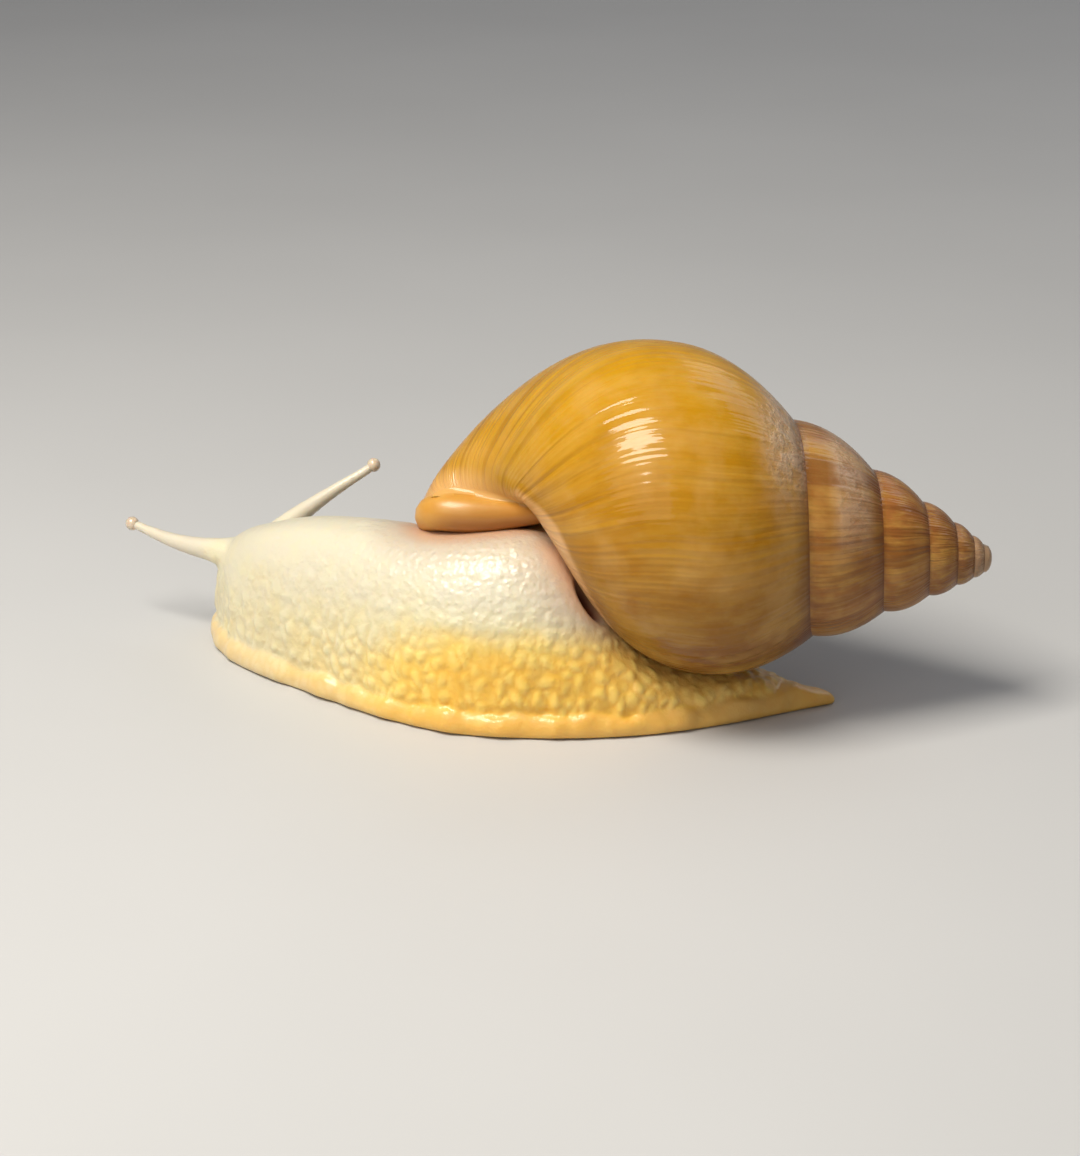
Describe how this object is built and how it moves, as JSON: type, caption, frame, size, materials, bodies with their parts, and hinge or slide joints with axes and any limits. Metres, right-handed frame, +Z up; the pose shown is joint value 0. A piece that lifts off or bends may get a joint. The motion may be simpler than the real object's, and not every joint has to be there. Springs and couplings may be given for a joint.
{
  "type": "giant african land snail",
  "caption": "Life-size giant land snail in a crawling pose: a right-coiled conical shell over a long white body, head turned to its right, feelers out.",
  "frame": {"origin": "the middle of the whole animal's bounding box, on the floor under the flat sole", "axes": "+X towards the tail and the shell's apex, -X towards the head, +Y to the animal's right, +Z up"},
  "size_m": [0.155, 0.0751, 0.064],
  "materials": {
    "shell": "glossy golden ochre with fine growth lines along the whorls and browner streaks on the spire",
    "flesh": "wet, off-white on top and honey yellow low on the flank, with net-like tubercles",
    "foot": "wet, pale gold fringe and a smooth amber sole",
    "mantle": "wet, smooth, pinkish cream",
    "tentacle": "wet, fine-grained, cream white",
    "eye": "wet, pale, with a small darker point at the tip"
  },
  "bodies": {
    "root": {"shell": "shell", "mantle_collar": "mantle", "trunk": "flesh", "neck": "flesh", "head": "flesh", "tail": "flesh", "lip_left": "flesh", "lip_right": "flesh", "foot_rear": "foot", "foot_middle": "foot", "foot_front": "foot", "upper_tentacle_left": "tentacle", "upper_tentacle_right": "tentacle", "lower_tentacle_left": "tentacle", "lower_tentacle_right": "tentacle", "eye_left": "eye", "eye_right": "eye"}
  },
  "joints": []
}
